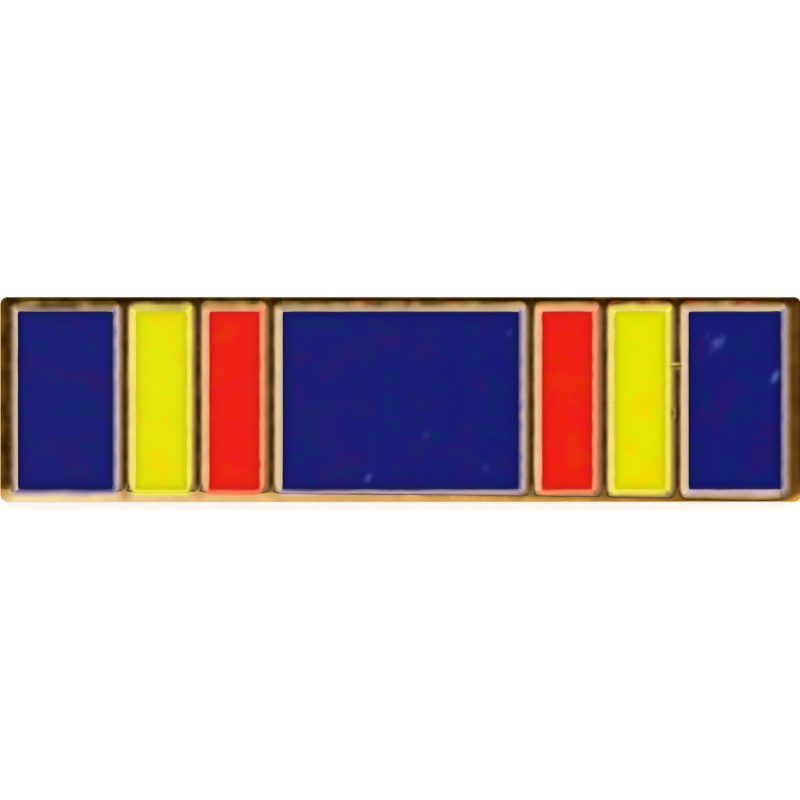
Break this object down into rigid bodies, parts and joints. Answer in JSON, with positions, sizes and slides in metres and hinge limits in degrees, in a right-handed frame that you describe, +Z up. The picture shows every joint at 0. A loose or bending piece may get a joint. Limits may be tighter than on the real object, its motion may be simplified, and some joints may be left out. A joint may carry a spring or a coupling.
{
  "type": "ribbon pin",
  "caption": "Slim rectangular lapel pin: a gilt metal bar with raised walls between upright blue, yellow and red enamel stripes, and a pointed clutch post on its back.",
  "frame": {"origin": "on the table, under the centre of the bounding box; the pin leans back on the bar's lower edge and the tip of its post", "axes": "+X along the bar, to its right end seen from the front; +Y to the back, the way the post points; +Z up. The bar's face looks along -Y and 16 degrees up"},
  "size_m": [0.019, 0.0096, 0.005],
  "materials": {
    "gilt_brass": "polished",
    "blue_enamel": "gloss",
    "yellow_enamel": "gloss",
    "red_enamel": "gloss"
  },
  "bodies": {
    "root": {"plate_and_post": "gilt_brass", "enamel_blue_left": "blue_enamel", "enamel_yellow_left": "yellow_enamel", "enamel_red_left": "red_enamel", "enamel_blue_centre": "blue_enamel", "enamel_red_right": "red_enamel", "enamel_yellow_right": "yellow_enamel", "enamel_blue_right": "blue_enamel"}
  },
  "joints": []
}
